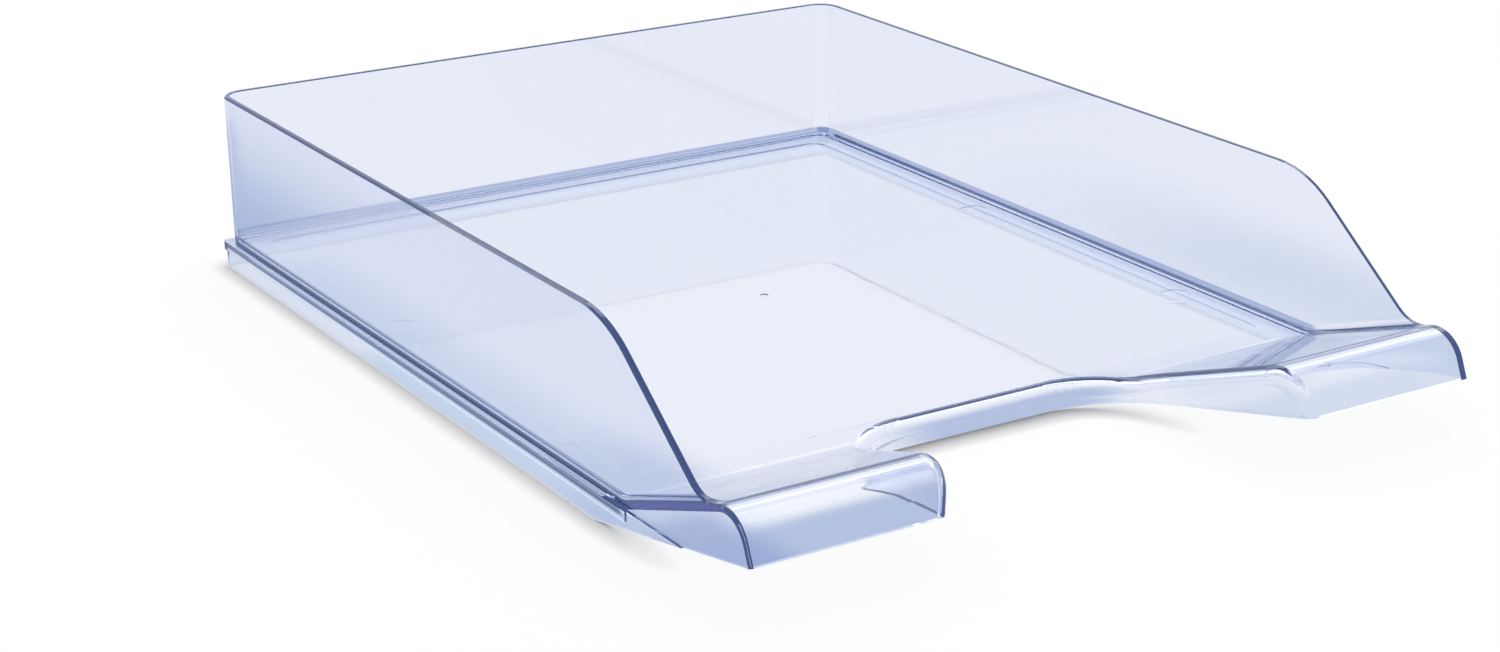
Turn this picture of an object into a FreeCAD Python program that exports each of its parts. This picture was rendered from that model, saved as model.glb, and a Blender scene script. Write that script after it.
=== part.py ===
import FreeCAD
import Part
import Sketcher
import math
import os

# A letter tray in clear plastic. It is one moulding: a floor inside three leaning walls, a skirt with a
# bead below them, and a ramp at the front that rolls over into two handles beside a finger cut-out.
# Lengths are in millimetres. The front looks towards -Y, and the origin is the middle of the footprint.

SIZES = {
    "tray_length": 345.9,
    "tray_width": 253.7,
    "tray_height": 62.2,
    "wall_thick": 1.8,
    "wall_angle": 0.35,
    "wall_corner": 8.5,
    "floor_top": 10.0,
    "floor_thick": 2.0,
    "band_round": 2.5,
    "ledge_top": 9.1,
    "ledge_wide": 1.5,
    "skirt_thick": 2.0,
    "skirt_corner": 2.2,
    "bead_out": 0.6,
    "bead_high": 2.9,
    "bead_start": 61.5,
    "slope_start": 23.4,
    "slope_angle": 37.0,
    "rim_round": 40.0,
    "foot_round": 13.0,
    "foot_room_share": 0.98,
    "ramp_start": 66.3,
    "ramp_angle": 19.3,
    "ramp_thick": 2.2,
    "crest_round": 11.2,
    "crease_round": 12.0,
    "lip_bottom": 15.4,
    "lip_angle": 22.8,
    "lip_thick": 2.0,
    "rise_start": 80.0,
    "cut_deep": 75.2,
    "cut_half": 67.5,
    "cut_flare_angle": 14.0,
    "cut_lean_angle": 14.0,
    "cut_round": 30.0,
    "cut_corner": 4.2,
    "hem_thick": 2.0,
    "hem_lean_angle": 25.0,
    "steep_share": 0.6,
    "panel_in": 9.0,
    "panel_gap": 2.5,
    "panel_deep": 0.4,
    "panel_corner": 5.0,
    "gate_across": 2.6,
    "gate_deep": 0.3,
    "gate_back": 191.4,
    "rim_edge": 0.6,
    "rim_edge_share": 0.45,
    "overrun": 6.0,
    "near": 0.05,
    "square_share": 0.95,
}
ANGLES = ("wall_angle", "slope_angle", "ramp_angle", "lip_angle", "cut_flare_angle", "cut_lean_angle",
          "hem_lean_angle")
PART_NAME = "letter_tray"

doc = FreeCAD.newDocument(PART_NAME)
sheet = doc.addObject("Spreadsheet::Sheet", "sizes")
for row, (alias, size) in enumerate(SIZES.items(), start=1):
    sheet.set("A%d" % row, alias)
    sheet.set("B%d" % row, str(size))
    sheet.setAlias("B%d" % row, alias)
doc.recompute()


def term(text):
    """Turn short words into sheet cells, angles with their degree unit."""
    words = []
    for word in text.split():
        if word in ANGLES:
            words.append("sizes.%s * 1 deg" % word)
        elif word in SIZES:
            words.append("sizes.%s" % word)
        else:
            words.append(word)
    return " ".join(words)


def tan(angle):
    return "tan( %s )" % angle


def cos(angle):
    return "cos( %s )" % angle


def from_front(distance):
    """A distance back from the front lip, as a position along Y."""
    return "( %s ) - tray_length / 2" % distance


def plane_of(body, role):
    for plane in body.Origin.OriginFeatures:
        if plane.Role == role:
            return plane
    raise ValueError(role)


def new_body(name):
    return doc.addObject("PartDesign::Body", name)


def new_sketch(body, name, role, lift=None):
    sketch = body.newObject("Sketcher::SketchObject", name)
    sketch.AttachmentSupport = (plane_of(body, role), [""])
    sketch.MapMode = "FlatFace"
    if lift:
        sketch.setExpression("AttachmentOffset.Base.z", term(lift))
    return sketch


def draw_polygon(sketch, corners):
    """A closed outline whose corners each sit at two formulas of the sheet."""
    count = len(corners)
    reach = SIZES["tray_length"]
    places = []
    for index in range(count):
        turn = 2 * math.pi * index / count
        places.append(FreeCAD.Vector(reach * math.cos(turn), reach * math.sin(turn), 0))
    for index in range(count):
        line = Part.LineSegment(places[index], places[(index + 1) % count])
        sketch.addGeometry(line, False)
    for index in range(count):
        joint = Sketcher.Constraint("Coincident", index, 2, (index + 1) % count, 1)
        sketch.addConstraint(joint)
    for index, (across, up) in enumerate(corners):
        place = places[index]
        first = sketch.addConstraint(Sketcher.Constraint("DistanceX", -1, 1, index, 1, place.x))
        second = sketch.addConstraint(Sketcher.Constraint("DistanceY", -1, 1, index, 1, place.y))
        sketch.setExpression("Constraints[%d]" % first, term(across))
        sketch.setExpression("Constraints[%d]" % second, term(up))
    doc.recompute()


def pad(body, name, sketch, length, both_ways=False):
    feature = body.newObject("PartDesign::Pad", name)
    feature.Profile = sketch
    feature.setExpression("Length", term(length))
    if both_ways:
        feature.SideType = "Symmetric"
    doc.recompute()
    return feature


def pocket(body, name, sketch, length, both_ways=False):
    before = body.Tip.Shape.Volume
    feature = body.newObject("PartDesign::Pocket", name)
    feature.Profile = sketch
    feature.setExpression("Length", term(length))
    if both_ways:
        feature.SideType = "Symmetric"
    doc.recompute()
    if not feature.Shape.Volume < before:
        raise ValueError("nothing cut by " + name)
    return feature


def middle(edge):
    return edge.valueAt((edge.FirstParameter + edge.LastParameter) / 2)


def along(edge):
    return edge.tangentAt((edge.FirstParameter + edge.LastParameter) / 2)


def edge_names(shape, wanted):
    names = []
    for index, edge in enumerate(shape.Edges, start=1):
        if wanted(edge):
            names.append("Edge%d" % index)
    return names


def fillet(body, name, wanted, radius):
    base = body.Tip
    names = edge_names(base.Shape, wanted)
    if not names:
        raise ValueError("no edge for " + name)
    feature = body.newObject("PartDesign::Fillet", name)
    feature.Base = (base, names)
    feature.setExpression("Radius", term(radius))
    doc.recompute()
    return feature


def lean_faces(body, name, level, wanted, angle, outwards):
    """Lean some upright faces of a block as they go up from a level."""
    base = body.Tip
    names = []
    for index, face in enumerate(base.Shape.Faces, start=1):
        if wanted(face.normalAt(0, 0)):
            names.append("Face%d" % index)
    feature = body.newObject("PartDesign::Draft", name)
    feature.Base = (base, names)
    feature.NeutralPlane = (level, [""])
    feature.PullDirection = (plane_of(body, "Z_Axis"), [""])
    feature.Reversed = outwards
    feature.setExpression("Angle", term(angle))
    doc.recompute()
    # The lean takes its placement from the first pass and its direction from the second.
    feature.touch()
    doc.recompute()
    return feature


def faces_side(normal):
    return abs(normal.x) > SIZES["square_share"]


def faces_back(normal):
    return normal.y > SIZES["square_share"]


def lean_walls(body, name):
    """Lean both sides and the back outwards, starting from the ledge."""
    level = body.newObject("PartDesign::Plane", name + "_level")
    level.AttachmentSupport = (plane_of(body, "XY_Plane"), [""])
    level.MapMode = "FlatFace"
    level.setExpression("AttachmentOffset.Base.z", term("ledge_top"))
    doc.recompute()
    lean_faces(body, name, level, lambda face: faces_side(face) or faces_back(face), "wall_angle", True)


def at_corner(sketch, index):
    """Edges that run across the tray through one corner of a side outline."""
    corner = sketch.Geometry[index].StartPoint

    def wanted(edge):
        place = middle(edge)
        off = math.hypot(place.y - corner.x, place.z - corner.y)
        return off < SIZES["near"] and abs(along(edge).x) > SIZES["square_share"]
    return wanted


def upright_at(sketch, indexes):
    """Upright edges through some corners of a plan outline."""
    corners = [sketch.Geometry[index].StartPoint for index in indexes]

    def wanted(edge):
        if abs(along(edge).z) < SIZES["square_share"]:
            return False
        place = middle(edge)
        return any(math.hypot(place.x - c.x, place.y - c.y) < SIZES["near"] for c in corners)
    return wanted


def back_corner(edge):
    """Nearly upright edges where a side wall meets the back wall."""
    return abs(along(edge).z) > SIZES["square_share"] and middle(edge).y > 0


RAMP = "floor_top + ( ramp_start - ( %s ) ) * " + tan("ramp_angle")
FOOT_UP = RAMP % "slope_start"
RIM_END = "slope_start + ( tray_height - ( " + FOOT_UP + " ) ) / " + tan("slope_angle")
LIP_BY_RAMP = tan("lip_angle") + " * " + tan("ramp_angle")
CREST_UP = ("( floor_top + ramp_start * " + tan("ramp_angle") + " + lip_bottom * " + LIP_BY_RAMP
            + " ) / ( 1 + " + LIP_BY_RAMP + " )")
CREST = "( " + CREST_UP + " - lip_bottom ) * " + tan("lip_angle")
CREST_HALF_TURN = tan("( 90 deg - lip_angle + ramp_angle ) / 2")
CREST_BACK = CREST + " + crest_round * " + CREST_HALF_TURN + " * " + cos("ramp_angle")
FOOT_ROOM = ("( slope_start - ( " + CREST_BACK + " ) ) / ( " + cos("ramp_angle") + " * "
             + tan("( slope_angle + ramp_angle ) / 2") + " )")

# The outside of the tray as a block: flat rim, front slope, rolled handle and rising underside.
tray = new_body("tray")
outside = new_sketch(tray, "outside_outline", "YZ_Plane")
draw_polygon(outside, [
    ("tray_length / 2 - ledge_wide", "0"),
    ("tray_length / 2 - ledge_wide", "tray_height"),
    (from_front(RIM_END), "tray_height"),
    (from_front("slope_start"), FOOT_UP),
    (from_front(CREST), CREST_UP),
    ("0 - tray_length / 2", "lip_bottom"),
    (from_front("rise_start"), "0"),
])
pad(tray, "outside_block", outside, "tray_width - 2 * ledge_wide", both_ways=True)
lean_walls(tray, "outside_lean")
fillet(tray, "outside_corner", back_corner, "wall_corner")
fillet(tray, "rim_front", at_corner(outside, 2), "rim_round")
FOOT_RADIUS = "min( foot_round ; foot_room_share * " + FOOT_ROOM + " )"
fillet(tray, "slope_foot", at_corner(outside, 3), FOOT_RADIUS)
fillet(tray, "handle_crest", at_corner(outside, 4), "crest_round")

# The skirt below the walls and the bead round its top.
skirt = new_sketch(tray, "skirt_outline", "XY_Plane")
draw_polygon(skirt, [
    ("tray_width / 2 - bead_out", "tray_length / 2 - bead_out"),
    ("bead_out - tray_width / 2", "tray_length / 2 - bead_out"),
    ("bead_out - tray_width / 2", "0 - tray_length / 2"),
    ("tray_width / 2 - bead_out", "0 - tray_length / 2"),
])
pad(tray, "skirt_block", skirt, "ledge_top")
fillet(tray, "skirt_corners", upright_at(skirt, (0, 1)), "skirt_corner")
bead = new_sketch(tray, "bead_outline", "XY_Plane", "ledge_top - bead_high")
draw_polygon(bead, [
    ("tray_width / 2", "tray_length / 2"),
    ("0 - tray_width / 2", "tray_length / 2"),
    ("0 - tray_width / 2", from_front("bead_start")),
    ("tray_width / 2", from_front("bead_start")),
])
pad(tray, "bead_block", bead, "bead_high")
fillet(tray, "bead_corners", upright_at(bead, (0, 1)), "skirt_corner")

# The underside lifts off the table towards the front.
rise = new_sketch(tray, "rise_outline", "YZ_Plane")
draw_polygon(rise, [
    (from_front("rise_start"), "0"),
    (from_front("rise_start"), "0 - overrun"),
    (from_front("0 - overrun"), "0 - overrun"),
    (from_front("0 - overrun"), "lip_bottom * ( rise_start + overrun ) / rise_start"),
])
pocket(tray, "rise_cut", rise, "tray_width + 2 * overrun", both_ways=True)

# The space for paper: above the floor and the ramp, between the walls.
paper = new_body("paper_space")
inside = new_sketch(paper, "inside_outline", "YZ_Plane")
draw_polygon(inside, [
    ("tray_length / 2 - ledge_wide - wall_thick", "floor_top"),
    ("tray_length / 2 - ledge_wide - wall_thick", "tray_height + overrun"),
    (from_front("0 - overrun"), "tray_height + overrun"),
    (from_front("0 - overrun"), RAMP % "0 - overrun"),
    (from_front("ramp_start"), "floor_top"),
])
pad(paper, "inside_block", inside, "tray_width - 2 * ledge_wide - 2 * wall_thick", both_ways=True)
lean_walls(paper, "inside_lean")
fillet(paper, "inside_corner", back_corner, "wall_corner - wall_thick")
fillet(paper, "ramp_crease", at_corner(inside, 4), "crease_round")


def floor_side(edge):
    """Edges of the floor along both sides and the back, not the crease of the ramp."""
    place = middle(edge)
    ends = [vertex.Point.z for vertex in edge.Vertexes]
    level = all(abs(z - SIZES["floor_top"]) < SIZES["near"] for z in ends)
    crease = abs(along(edge).x) > SIZES["square_share"] and place.y < 0
    return level and not crease


fillet(paper, "wall_band", floor_side, "band_round")

# The hollow under the floor, the ramp and the handles.
hollow = new_body("hollow_space")
under = new_sketch(hollow, "under_outline", "XY_Plane", "0 - overrun")
draw_polygon(under, [
    ("tray_width / 2 - bead_out - skirt_thick", "tray_length / 2 - bead_out - skirt_thick"),
    ("bead_out + skirt_thick - tray_width / 2", "tray_length / 2 - bead_out - skirt_thick"),
    ("bead_out + skirt_thick - tray_width / 2", "0 - tray_length / 2"),
    ("tray_width / 2 - bead_out - skirt_thick", "0 - tray_length / 2"),
])
pad(hollow, "under_floor", under, "overrun + floor_top - floor_thick")
RAMP_DROP = "ramp_thick / " + cos("ramp_angle")
LIP_BACK = "lip_thick / " + cos("lip_angle")
UNDER_START = "ramp_start - ( " + RAMP_DROP + " - floor_thick ) / " + tan("ramp_angle")
UNDER_UP = ("( floor_top + ramp_start * " + tan("ramp_angle") + " - " + RAMP_DROP
            + " + lip_bottom * " + LIP_BY_RAMP + " - " + LIP_BACK + " * " + tan("ramp_angle")
            + " ) / ( 1 + " + LIP_BY_RAMP + " )")
UNDER_FRONT = "( " + UNDER_UP + " - lip_bottom ) * " + tan("lip_angle") + " + " + LIP_BACK
UNDER_LOW = "( 0 - lip_bottom ) * " + tan("lip_angle") + " + " + LIP_BACK
ramp_under = new_sketch(hollow, "ramp_under_outline", "YZ_Plane")
draw_polygon(ramp_under, [
    (from_front(UNDER_START), "floor_top - floor_thick"),
    (from_front(UNDER_FRONT), UNDER_UP),
    (from_front(UNDER_LOW), "0"),
    (from_front(UNDER_START), "0"),
])
pad(hollow, "under_ramp", ramp_under, "tray_width - 2 * ledge_wide - 2 * wall_thick", both_ways=True)
fillet(hollow, "under_crest", at_corner(ramp_under, 1), "crest_round - lip_thick")
fillet(hollow, "under_crease", at_corner(ramp_under, 0), "crease_round + floor_thick")


def back_seam(edge):
    """Steep edges between the back and the sides of the cut-out."""
    return abs(along(edge).z) > SIZES["steep_share"] and middle(edge).y > 0 - SIZES["tray_length"] / 2


def cut_out(name, side_room, back_room):
    """The cut-out as a block: wide at the front, round at the back, and narrower upwards."""
    body = new_body(name)
    front = "cut_half + " + side_room + " + overrun * " + tan("cut_flare_angle")
    back = "cut_half + " + side_room + " - ( cut_deep + " + back_room + " ) * " + tan("cut_flare_angle")
    outline = new_sketch(body, name + "_outline", "XY_Plane", "0 - overrun")
    draw_polygon(outline, [
        (back, from_front("cut_deep + " + back_room)),
        ("0 - ( " + back + " )", from_front("cut_deep + " + back_room)),
        ("0 - ( " + front + " )", from_front("0 - overrun")),
        (front, from_front("0 - overrun")),
    ])
    pad(body, name + "_block", outline, "tray_height + overrun")
    table = plane_of(body, "XY_Plane")
    lean_faces(body, name + "_sides", table, faces_side, "cut_lean_angle", False)
    lean_faces(body, name + "_back", table, faces_back, "hem_lean_angle", False)
    fillet(body, name + "_round", back_seam, "cut_round + " + back_room)
    return body


# The finger cut-out between the two handles, and the hem that is left round it.
finger = cut_out("finger_space", "0", "0")
hem = cut_out("hem_space", "hem_thick / " + cos("cut_lean_angle"), "hem_thick / " + cos("hem_lean_angle"))


def take_out(body, name, bodies):
    feature = body.newObject("PartDesign::Boolean", name)
    feature.Type = "Cut"
    feature.Group = bodies
    doc.recompute()


def along_cut(edge, reach):
    """Edges near the cut-out, without the steep seams round its back corners."""
    place = middle(edge)
    back = place.y + SIZES["tray_length"] / 2
    seam = abs(along(edge).z) > SIZES["steep_share"] and back > SIZES["slope_start"]
    at_cut = abs(place.x) < SIZES["cut_half"] + reach and back < SIZES["cut_deep"] + SIZES["near"]
    return at_cut and not seam


def cut_edge(edge):
    """Edges where the cut-out breaks through the lips, handles, ramp and floor, above the underside."""
    place = middle(edge)
    back = place.y + SIZES["tray_length"] / 2
    underside = SIZES["lip_bottom"] * (1 - back / SIZES["rise_start"])
    return along_cut(edge, SIZES["near"]) and place.z > underside + SIZES["near"]


def hem_edge(edge):
    """The same edges on the hidden side of the hem."""
    return along_cut(edge, SIZES["hem_thick"]) and middle(edge).z > SIZES["near"]


# The spaces for paper and fingers come out of the block, and the edge between them is rolled over.
# Then the hollow comes out from below, with the same roll inside, so the hem keeps one thickness.
take_out(hollow, "hem_left", [hem])
fillet(hollow, "hem_edge_round", hem_edge, "cut_corner - hem_thick")
take_out(tray, "upper_spaces", [paper, finger])
fillet(tray, "cut_edge_round", cut_edge, "cut_corner")
take_out(tray, "lower_space", [hollow])


def outer_rim(edge):
    """Outer top edges of both side walls. The bevel runs on from them all the way along the rim."""
    place = middle(edge)
    half = SIZES["tray_width"] / 2 - SIZES["ledge_wide"] - SIZES["wall_thick"] / 2
    return abs(place.z - SIZES["tray_height"]) < SIZES["near"] and abs(place.x) > half


# The outer edge is broken by a small bevel, along the rim, down the slopes and over the handle ends.
bevelled = tray.Tip
rim_edges = edge_names(bevelled.Shape, outer_rim)
bevel = tray.newObject("PartDesign::Chamfer", "rim_bevel")
bevel.Base = (bevelled, rim_edges)
bevel.setExpression("Size", term("min( rim_edge ; rim_edge_share * wall_thick )"))
doc.recompute()

# The floor panel lies a little lower than its border, with the mark of the gate near its middle.
panel = new_sketch(tray, "panel_outline", "XY_Plane", "floor_top")
PANEL_SIDE = "tray_width / 2 - ledge_wide - wall_thick - panel_in"
PANEL_BACK = "tray_length / 2 - ledge_wide - wall_thick - panel_in"
draw_polygon(panel, [
    (PANEL_SIDE, PANEL_BACK),
    ("0 - ( " + PANEL_SIDE + " )", PANEL_BACK),
    ("0 - ( " + PANEL_SIDE + " )", from_front("cut_deep + panel_gap")),
    (PANEL_SIDE, from_front("cut_deep + panel_gap")),
])
pocket(tray, "panel_cut", panel, "panel_deep")
fillet(tray, "panel_corners", upright_at(panel, (0, 1, 2, 3)), "panel_corner")
gate = new_sketch(tray, "gate_outline", "XY_Plane", "floor_top - panel_deep")
gate.addGeometry(Part.Circle(FreeCAD.Vector(), FreeCAD.Vector(0, 0, 1), SIZES["gate_across"]), False)
gate.addConstraint(Sketcher.Constraint("PointOnObject", 0, 3, -2))
gate_size = gate.addConstraint(Sketcher.Constraint("Diameter", 0, SIZES["gate_across"]))
gate.setExpression("Constraints[%d]" % gate_size, term("gate_across"))
gate_place = gate.addConstraint(Sketcher.Constraint("DistanceY", -1, 1, 0, 3, SIZES["gate_across"]))
gate.setExpression("Constraints[%d]" % gate_place, term(from_front("gate_back")))
pocket(tray, "gate_mark", gate, "gate_deep")

doc.recompute()
for item in doc.Objects:
    if "Invalid" in item.State or "Error" in item.State:
        raise ValueError("%s: %s" % (item.Name, item.State))
tray.Label = PART_NAME
shape = tray.Shape
if shape.isNull() or not shape.isValid() or len(shape.Solids) != 1:
    raise ValueError("the tray is not one sound solid")
os.makedirs("parts", exist_ok=True)
shape.exportStep("parts/%s.step" % PART_NAME)
print(PART_NAME, "box", shape.BoundBox, "volume", round(shape.Volume), "faces", len(shape.Faces))
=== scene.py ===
# %% [markdown]
# # A letter tray in clear plastic
# A letter tray is one injection moulding: floor, walls, handles and the edge it stacks on all leave the
# mould together, in one clear blue plastic. The solid from the CAD model already has that whole shape, so
# nothing is modelled twice here. This lesson dresses it: a camera, a white table, soft light, and above all
# the plastic, whose looks come from what light does inside it. All lengths are in metres, as in the model.

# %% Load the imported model
import math
import bpy
from mathutils import Matrix, Vector


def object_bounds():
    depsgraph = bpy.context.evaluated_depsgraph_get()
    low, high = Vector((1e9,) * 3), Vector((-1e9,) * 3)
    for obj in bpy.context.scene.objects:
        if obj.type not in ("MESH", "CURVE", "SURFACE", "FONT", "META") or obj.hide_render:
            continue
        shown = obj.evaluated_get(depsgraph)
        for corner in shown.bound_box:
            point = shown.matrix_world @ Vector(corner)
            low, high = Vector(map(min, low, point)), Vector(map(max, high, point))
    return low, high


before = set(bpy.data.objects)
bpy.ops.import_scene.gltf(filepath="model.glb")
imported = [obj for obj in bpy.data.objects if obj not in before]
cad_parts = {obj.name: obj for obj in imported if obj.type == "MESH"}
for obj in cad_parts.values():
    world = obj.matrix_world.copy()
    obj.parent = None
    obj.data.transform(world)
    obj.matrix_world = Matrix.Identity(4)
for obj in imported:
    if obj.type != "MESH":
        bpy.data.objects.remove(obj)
cad_low, cad_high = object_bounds()

# %% [markdown]
# The camera stands to the left of the tray's front and looks down a little, as a person at a desk does. Its
# place and lens came from lining up the corners of the rim and of the skirt, so that each later step can be
# judged at the right spot. It could be placed by eye with a Track To constraint, but three angles and a
# point are easier to read and to repeat.

# %% Camera
VIEW_WIDTH = 1500
FOCAL_PIXELS = 2819.0
SENSOR = 36.0
CAMERA_PLACE = Vector((-0.46741, -0.72236, 0.31188))
CAMERA_AZIMUTH = math.radians(31.937)
CAMERA_DOWN = math.radians(19.669)
CAMERA_ROLL = math.radians(-0.32)


def make_camera():
    """Build the camera's three axes from its angles."""
    ahead = Vector((math.sin(CAMERA_AZIMUTH) * math.cos(CAMERA_DOWN),
                    math.cos(CAMERA_AZIMUTH) * math.cos(CAMERA_DOWN), -math.sin(CAMERA_DOWN)))
    right = Vector((math.cos(CAMERA_AZIMUTH), -math.sin(CAMERA_AZIMUTH), 0))
    up = right.cross(ahead)
    across = right * math.cos(CAMERA_ROLL) + up * math.sin(CAMERA_ROLL)
    upward = up * math.cos(CAMERA_ROLL) - right * math.sin(CAMERA_ROLL)
    data = bpy.data.cameras.new("studio_camera")
    data.sensor_fit = "HORIZONTAL"
    data.sensor_width = SENSOR
    data.lens = FOCAL_PIXELS / VIEW_WIDTH * SENSOR
    camera = bpy.data.objects.new("studio_camera", data)
    bpy.context.scene.collection.objects.link(camera)
    turn = Matrix((across, upward, -ahead)).transposed().to_4x4()
    camera.matrix_world = Matrix.Translation(CAMERA_PLACE) @ turn
    bpy.context.scene.camera = camera
    return camera


camera = make_camera()
print("lens", round(camera.data.lens, 2), "mm")

# %% [markdown]
# Both the table and the plastic are built from small nodes that work on numbers and colours. They could be
# set up by hand in the Shader Editor, one by one. A few helpers keep them readable as code: one makes a Math
# node, one measures a distance, one slides softly between two numbers, and one mixes two colours.

# %% Helpers for numbers and colours
WHITE = (1, 1, 1, 1)
# A Mix node has sockets of one name for numbers and for colours, so those for colours go by their place.
MIX_FIRST_COLOUR = 6
MIX_SECOND_COLOUR = 7
MIX_RESULT_COLOUR = 2


def link(tree, source, target):
    """Join an output to an input."""
    tree.links.new(source, target)


def set_or_link(tree, socket, value):
    """Give a socket a plain value, or link another socket to it."""
    if isinstance(value, bpy.types.NodeSocket):
        link(tree, value, socket)
    else:
        socket.default_value = value


def number(tree, operation, *values):
    """A Math node. Each value is a socket to link or a plain number."""
    node = tree.nodes.new("ShaderNodeMath")
    node.operation = operation
    for socket, value in zip(node.inputs, values):
        set_or_link(tree, socket, value)
    return node.outputs[0]


def distance(tree, first, second):
    """The length of the long side of a right-angled triangle with these two short sides."""
    square = number(tree, "MULTIPLY_ADD", first, first, number(tree, "MULTIPLY", second, second))
    return number(tree, "SQRT", square)


def smooth(tree, value, low, high, start, end):
    """Slide from start to end while the value goes from low to high."""
    node = tree.nodes.new("ShaderNodeMapRange")
    node.interpolation_type = "SMOOTHSTEP"
    link(tree, value, node.inputs["Value"])
    for name, setting in zip(("From Min", "From Max", "To Min", "To Max"), (low, high, start, end)):
        node.inputs[name].default_value = setting
    return node.outputs["Result"]


def blend(tree, share, first, second):
    """Mix two colours, each a socket or a plain colour, by a share."""
    node = tree.nodes.new("ShaderNodeMix")
    node.data_type = "RGBA"
    link(tree, share, node.inputs["Factor"])
    set_or_link(tree, node.inputs[MIX_FIRST_COLOUR], first)
    set_or_link(tree, node.inputs[MIX_SECOND_COLOUR], second)
    return node.outputs[MIX_RESULT_COLOUR]


print("helpers for numbers and colours ready")

# %% [markdown]
# The next helpers say where a point is and how two shaders share it. Places come from the object's own
# coordinates. Window coordinates would do for one picture, but a pattern on them slides as the camera
# moves.

# %% Helpers for places and shaders


def axes_of_object(tree):
    """The object's own coordinates, as three numbers."""
    place = tree.nodes.new("ShaderNodeTexCoord")
    axes = tree.nodes.new("ShaderNodeSeparateXYZ")
    link(tree, place.outputs["Object"], axes.inputs[0])
    return axes.outputs["X"], axes.outputs["Y"], axes.outputs["Z"]


def inside(tree, value, limits, soft):
    """A number that is 1 between two limits and fades softly to 0 outside them."""
    low, high = limits
    rising = smooth(tree, value, low - soft, low + soft, 0.0, 1.0)
    falling = smooth(tree, value, high - soft, high + soft, 1.0, 0.0)
    return number(tree, "MULTIPLY", rising, falling)


def mix_shaders(tree, share, first, second, target):
    """Mix two shaders by a share and link the result to an output."""
    mix = tree.nodes.new("ShaderNodeMixShader")
    for socket, source in zip(mix.inputs, (share, first.outputs[0], second.outputs[0])):
        link(tree, source, socket)
    link(tree, mix.outputs[0], target)


print("helpers for places and shaders ready")

# %% [markdown]
# The plastic is clear, so the table behind it matters as much as its own colour. The light that reaches the
# table under the tray has come through the plastic first, so the table is shaded there in soft blue, most
# under the handles and along the walls. Cycles could trace that light, as caustics, but it would take
# hours. Instead the table is given its shades as soft patches, which only the plastic shows, through it
# and in its gloss.

# %% Shades on the table under the tray
# Painted shade on the paper, from faint to deep; GATHERED, brighter than white, is painted light.
FAINT = (0.87, 0.89, 0.94, 1)
PALE = (0.79, 0.84, 0.91, 1)
SOFT = (0.68, 0.77, 0.88, 1)
BLUE = (0.51, 0.60, 0.78, 1)
DEEP = (0.34, 0.44, 0.69, 1)
GATHERED = (1.12, 1.12, 1.10, 1)
SHADES = {
    # place: from and to across, from and to along, softness across and along, colour
    "beyond the right wall": ((0.145, 0.21), (-0.30, 0.06), (0.025, 0.09), PALE),
    "light at the right foot": ((0.126, 0.138), (-0.10, 0.20), (0.004, 0.02), GATHERED),
    "light at the back foot": ((-0.09, 0.138), (0.176, 0.195), (0.02, 0.005), GATHERED),
    "light beside the right handle": ((0.125, 0.165), (-0.125, -0.09), (0.010, 0.010), WHITE),
    "under both handles": ((-0.125, 0.15), (-0.18, -0.121), (0.012, 0.009), PALE),
    "fading from the left handle": ((-0.125, 0.02), (-0.18, -0.121), (0.07, 0.009), BLUE),
    "under the left handle": ((-0.125, -0.02), (-0.18, -0.121), (0.012, 0.009), BLUE),
    "along the left wall": ((-0.131, -0.094), (-0.12, 0.16), (0.012, 0.02), SOFT),
    "under the left ramp": ((-0.118, -0.086), (-0.10, -0.05), (0.012, 0.03), BLUE),
    "in the left corner": ((-0.126, -0.094), (-0.17, -0.104), (0.008, 0.008), DEEP),
    "at the left foot": ((-0.131, -0.115), (-0.112, 0.06), (0.005, 0.03), SOFT),
    "at the left foot in front": ((-0.131, -0.115), (-0.112, -0.08), (0.005, 0.03), BLUE),
    "at the left foot behind": ((-0.131, -0.115), (0.06, 0.18), (0.005, 0.015), FAINT),
    "behind the hem": ((-0.02, 0.062), (-0.099, -0.083), (0.015, 0.006), BLUE),
    "right of the hem": ((0.075, 0.12), (-0.115, -0.085), (0.015, 0.012), FAINT),
    "beyond the left back corner": ((-0.16, -0.065), (0.195, 0.36), (0.03, 0.02), BLUE),
}


def table_through_plastic(tree):
    """White paper, with each shade laid over it in turn."""
    across, along, _ = axes_of_object(tree)
    colour = WHITE
    for limits_across, limits_along, (soft_across, soft_along), shade in SHADES.values():
        share = number(tree, "MULTIPLY", inside(tree, across, limits_across, soft_across),
                       inside(tree, along, limits_along, soft_along))
        colour = blend(tree, share, colour, shade)
    return colour


print(len(SHADES), "soft shades")

# %% [markdown]
# Where the tray touches the table, hardly any light gets in, and a thin dark line says that it stands there.
# It is painted shadow in the table's glow. It could be drawn along the tray's edge; an Ambient Occlusion
# node is simpler: it measures how closed in a point is, so the line follows the tray by itself.
# Seen through the plastic the line is paler and narrower.

# %% Contact with the table
BESIDE_GREY = (0.12, 0.12, 0.15, 1)
BESIDE_REACH = 0.008
BELOW_GREY = (0.70, 0.72, 0.76, 1)
BELOW_REACH = 0.0025


def shown_by_plastic(tree):
    """A number that is 1 for rays that pass through the plastic or bounce off its gloss."""
    path = tree.nodes.new("ShaderNodeLightPath")
    shown = number(tree, "MAXIMUM", path.outputs["Is Transmission Ray"], path.outputs["Is Glossy Ray"])
    return path, shown


def contact(tree, grey, paper, reach):
    """Paper that darkens to grey where the tray stands on it."""
    near = tree.nodes.new("ShaderNodeAmbientOcclusion")
    near.inputs["Distance"].default_value = reach
    return blend(tree, near.outputs["AO"], grey, paper)


# %% [markdown]
# The table itself is a plain white sheet. Lit by lamps alone it would come out grey. Stronger lamps would
# cure that, but bleach the tray as well. So for the camera most of the white is the sheet's own glow, and
# the rest is real light, which keeps the tray's soft shadow. Far from the tray it is all glow.

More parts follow.
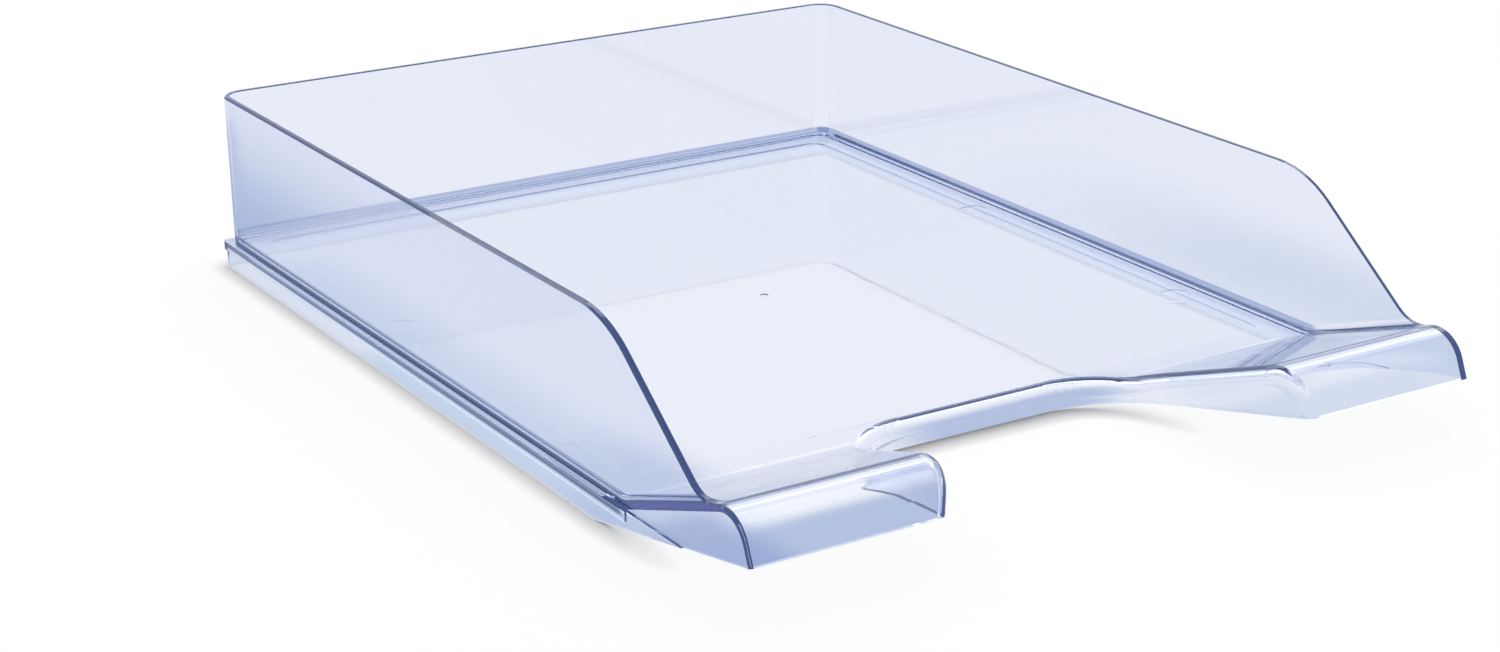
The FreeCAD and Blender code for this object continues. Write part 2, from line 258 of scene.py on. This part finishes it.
# %% Table
TABLE_SIDE = 8.0
PAPER_WHITE = (0.98, 0.98, 0.98, 1)
PAPER_ROUGHNESS = 1.0
PAPER_GLOSS = 0.0
GLOW_NEAR = 0.9
GLOW_FAR = 1.0
GLOW_RANGE = (0.3, 0.7)


def glow_for_camera(tree):
    """The share of the white that is the table's own glow."""
    across, along, _ = axes_of_object(tree)
    return smooth(tree, distance(tree, across, along), *GLOW_RANGE, GLOW_NEAR, GLOW_FAR)


def white_paper():
    """Matt paper that glows white, with the shades and the contact in its glow."""
    paper = bpy.data.materials.new("white_paper")
    paper.use_nodes = True
    tree = paper.node_tree
    shader = tree.nodes["Principled BSDF"]
    shader.inputs["Base Color"].default_value = PAPER_WHITE
    shader.inputs["Roughness"].default_value = PAPER_ROUGHNESS
    shader.inputs["Specular IOR Level"].default_value = PAPER_GLOSS
    glow = tree.nodes.new("ShaderNodeEmission")
    path, shown = shown_by_plastic(tree)
    beside = contact(tree, BESIDE_GREY, WHITE, BESIDE_REACH)
    below = contact(tree, BELOW_GREY, table_through_plastic(tree), BELOW_REACH)
    link(tree, blend(tree, shown, beside, below), glow.inputs["Color"])
    share = number(tree, "MULTIPLY_ADD", path.outputs["Is Camera Ray"], glow_for_camera(tree), shown)
    mix_shaders(tree, share, shader, glow, tree.nodes["Material Output"].inputs["Surface"])
    return paper


def make_table():
    """A flat sheet, which isn't part of the tray."""
    bpy.ops.object.select_all(action="DESELECT")
    bpy.ops.mesh.primitive_plane_add(size=TABLE_SIDE, location=(0, 0, 0))
    table = bpy.context.object
    table.name = "table"
    table.data.materials.append(white_paper())


make_table()
print("table", TABLE_SIDE, "m wide")

# %% [markdown]
# The light is a white studio: an even glow from all round and two large soft lamps. The one above, to the
# right, puts the tray's faint shadow on its left. The one behind draws the white lines along the crest of the
# ramp, the hem and the edges. Clear plastic has little colour of its own to light up. It shows what stands
# around it, so the white surroundings do most of the work, and the lamps stay weak.

# %% Studio light
STUDIO_LEVEL = 0.7
BACKGROUND_LEVEL = 1.0
TOP_LAMP = ("softbox_above", Vector((0.5, 0.2, 1.8)), (1.4, 1.4), 10.0)
BACK_LAMP = ("softbox_behind", Vector((0.365, 1.364, 1.271)), (3.2, 0.8), 11.0)


def make_studio():
    """A soft glow for the light, and a full white where the camera or the plastic shows it."""
    studio = bpy.data.worlds.new("studio")
    bpy.context.scene.world = studio
    studio.use_nodes = True
    tree = studio.node_tree
    soft = tree.nodes["Background"]
    background = tree.nodes.new("ShaderNodeBackground")
    for white, level in ((soft, STUDIO_LEVEL), (background, BACKGROUND_LEVEL)):
        white.inputs["Color"].default_value = WHITE
        white.inputs["Strength"].default_value = level
    path, shown = shown_by_plastic(tree)
    seen = number(tree, "MAXIMUM", shown, path.outputs["Is Camera Ray"])
    mix_shaders(tree, seen, soft, background, tree.nodes["World Output"].inputs["Surface"])


def make_lamp(name, place, sides, power):
    """A soft panel of light that faces the tray."""
    data = bpy.data.lights.new(name, "AREA")
    data.shape = "RECTANGLE"
    data.size, data.size_y = sides
    data.energy = power
    lamp = bpy.data.objects.new(name, data)
    bpy.context.scene.collection.objects.link(lamp)
    lamp.location = place
    lamp.rotation_mode = "QUATERNION"
    lamp.rotation_quaternion = (-place).to_track_quat("-Z", "Y")
    return lamp


make_studio()
top_lamp = make_lamp(*TOP_LAMP)
back_lamp = make_lamp(*BACK_LAMP)
# Only the lamp behind shows in the gloss.
top_lamp.visible_glossy = False
bpy.context.scene.view_settings.view_transform = "Standard"
print("studio level", STUDIO_LEVEL, "with", top_lamp.name, "and", back_lamp.name)

# %% [markdown]
# A mould leaves its own marks on clear plastic. The pins that push the moulding out leave shallow round
# marks on the floor, the melt freezes in very slight waves, and the polish isn't quite even. They could be
# cut into the mesh, but they are a few hundredths of a millimetre deep, so a bump does it better.

# %% Marks of the mould
PIN_ACROSS = 0.112
PIN_ALONG = 0.0555
PIN_RADIUS = 0.0055
PIN_EDGE = 0.0004
PIN_LEVEL = 0.009
PIN_DEPTH = 0.00005
WAVE_SCALE = 22.0
WAVE_DEPTH = 0.00004
NOISE_DETAIL = 1.0
BUMP_IN_METRES = 1.0


def pin_marks(tree):
    """Four round marks on the floor, one near each corner: 1 inside a mark, 0 outside."""
    across, along, high = axes_of_object(tree)
    from_side = number(tree, "SUBTRACT", number(tree, "ABSOLUTE", across), PIN_ACROSS)
    from_middle = number(tree, "SUBTRACT", number(tree, "ABSOLUTE", along), PIN_ALONG)
    away = distance(tree, from_side, from_middle)
    mark = smooth(tree, away, PIN_RADIUS - PIN_EDGE, PIN_RADIUS + PIN_EDGE, 1.0, 0.0)
    return number(tree, "MULTIPLY", mark, number(tree, "GREATER_THAN", high, PIN_LEVEL))


def grain(tree, scale):
    """Soft noise on the object's own coordinates."""
    place = tree.nodes.new("ShaderNodeTexCoord")
    noise = tree.nodes.new("ShaderNodeTexNoise")
    link(tree, place.outputs["Object"], noise.inputs["Vector"])
    noise.inputs["Scale"].default_value = scale
    noise.inputs["Detail"].default_value = NOISE_DETAIL
    return noise.outputs["Fac"]


def mould_relief(tree):
    """The surface's normal, tilted by the waves and the marks of the pins."""
    waves = number(tree, "MULTIPLY", grain(tree, WAVE_SCALE), WAVE_DEPTH)
    height = number(tree, "MULTIPLY_ADD", pin_marks(tree), -PIN_DEPTH, waves)
    bump = tree.nodes.new("ShaderNodeBump")
    bump.inputs["Distance"].default_value = BUMP_IN_METRES
    link(tree, height, bump.inputs["Height"])
    return bump.outputs["Normal"]


# %% [markdown]
# The floor works as a light guide. Light that gets into it runs along inside, and comes out where the floor
# ends: at the bead outside the walls, and at the round where it turns up into them. It has lost its red on
# that long way, so two narrow bands look deep blue from every side. The renderer can't follow light that
# far, so that blue is painted into the skin of the plastic there, by its place on the tray.

# %% Painted blue bands where the floor ends
WALL_MIDDLE_IN = 0.0024
BEAD_BEYOND = 0.0011
BEAD_BAND = (0.0073, 0.0087)
BEAD_BLUE = (0.01, 0.03, 0.12, 1)
FOOT_BAND = (0.0109, 0.0131)
FOOT_BLUE = (0.24, 0.31, 0.55, 1)
BAND_SOFT = 0.0002
BAND_FRONT = (-0.112, -0.108)
PLASTIC_SKIN = (0.885, 0.90, 0.965, 1)


def beyond_walls(tree):
    """How far a point lies outside the middle of the side walls or of the back wall."""
    across, along, _ = axes_of_object(tree)
    beside = number(tree, "SUBTRACT", number(tree, "ABSOLUTE", across), cad_high.x - WALL_MIDDLE_IN)
    behind = number(tree, "SUBTRACT", along, cad_high.y - WALL_MIDDLE_IN)
    return number(tree, "MAXIMUM", beside, behind)


def band(tree, limits, side):
    """A number that is 1 between two heights, on one side of the walls, behind the ramp."""
    _, along, high = axes_of_object(tree)
    share = number(tree, "MULTIPLY", inside(tree, high, limits, BAND_SOFT), side)
    return number(tree, "MULTIPLY", share, smooth(tree, along, *BAND_FRONT, 0.0, 1.0))


def skin_with_painted_bands(tree):
    """Pale skin, with the blue of that light painted in: deep on the bead, lighter at the foot of the walls.
    """
    beyond = beyond_walls(tree)
    foot = band(tree, FOOT_BAND, number(tree, "LESS_THAN", beyond, 0.0))
    bead = band(tree, BEAD_BAND, number(tree, "GREATER_THAN", beyond, BEAD_BEYOND))
    return blend(tree, bead, blend(tree, foot, PLASTIC_SKIN, FOOT_BLUE), BEAD_BLUE)


# %% [markdown]
# Looked at square on, a wall of this plastic is almost colourless. Looked at along its length, as at the
# rim, the ledge and the corners, it is deep blue, because the light has come a long way through it. A blue
# painted on the surface would look the same all over. So a Volume Absorption node takes red and some green
# out of the light for every millimetre it travels. Light that is caught inside an edge bounces more often
# than the renderer follows, or comes a longer way than it can, and would turn black. So after a few bounces,
# or a long way, the plastic shows the blue that such light ends in.

# %% Clear blue plastic
PLASTIC_IOR = 1.57
PLASTIC_CLEAR = 1.0
PLASTIC_DENSITY = 46.0
PLASTIC_TINT = (0.0, 0.26, 0.70, 1)
POLISH_SCALE = 160.0
POLISH_NOISE = (0.3, 0.7)
POLISH_RANGE = (0.015, 0.05)
PAINTED_GLOW_BLUE = (0.012, 0.045, 0.125, 1)
DEEP_BOUNCES = 3.5
LONG_WAY = (0.008, 0.02)
LONG_GLOW = 1.2


def caught_light(tree):
    """A number that rises once light has bounced often, or come a long way, inside the plastic."""
    path = tree.nodes.new("ShaderNodeLightPath")
    side = tree.nodes.new("ShaderNodeNewGeometry")
    often = number(tree, "GREATER_THAN", path.outputs["Glossy Depth"], DEEP_BOUNCES)
    far = smooth(tree, path.outputs["Ray Length"], *LONG_WAY, 0.0, LONG_GLOW)
    return number(tree, "MULTIPLY_ADD", far, side.outputs["Backfacing"], often)


def clear_plastic():
    """Polished skin around a volume that colours the light on its way."""
    plastic = bpy.data.materials.new("clear_blue_plastic")
    plastic.use_nodes = True
    tree = plastic.node_tree
    shader = tree.nodes["Principled BSDF"]
    link(tree, skin_with_painted_bands(tree), shader.inputs["Base Color"])
    shader.inputs["IOR"].default_value = PLASTIC_IOR
    shader.inputs["Transmission Weight"].default_value = PLASTIC_CLEAR
    polish = smooth(tree, grain(tree, POLISH_SCALE), *POLISH_NOISE, *POLISH_RANGE)
    link(tree, polish, shader.inputs["Roughness"])
    link(tree, mould_relief(tree), shader.inputs["Normal"])
    # Painted light: where light is caught, the plastic glows this deep blue by its own emission.
    shader.inputs["Emission Color"].default_value = PAINTED_GLOW_BLUE
    link(tree, caught_light(tree), shader.inputs["Emission Strength"])
    depth = tree.nodes.new("ShaderNodeVolumeAbsorption")
    depth.inputs["Color"].default_value = PLASTIC_TINT
    depth.inputs["Density"].default_value = PLASTIC_DENSITY
    link(tree, depth.outputs[0], tree.nodes["Material Output"].inputs["Volume"])
    return plastic


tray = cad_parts["letter_tray"]
tray.data.materials.clear()
tray.data.materials.append(clear_plastic())
print("tray has", len(tray.data.polygons), "faces in one plastic")
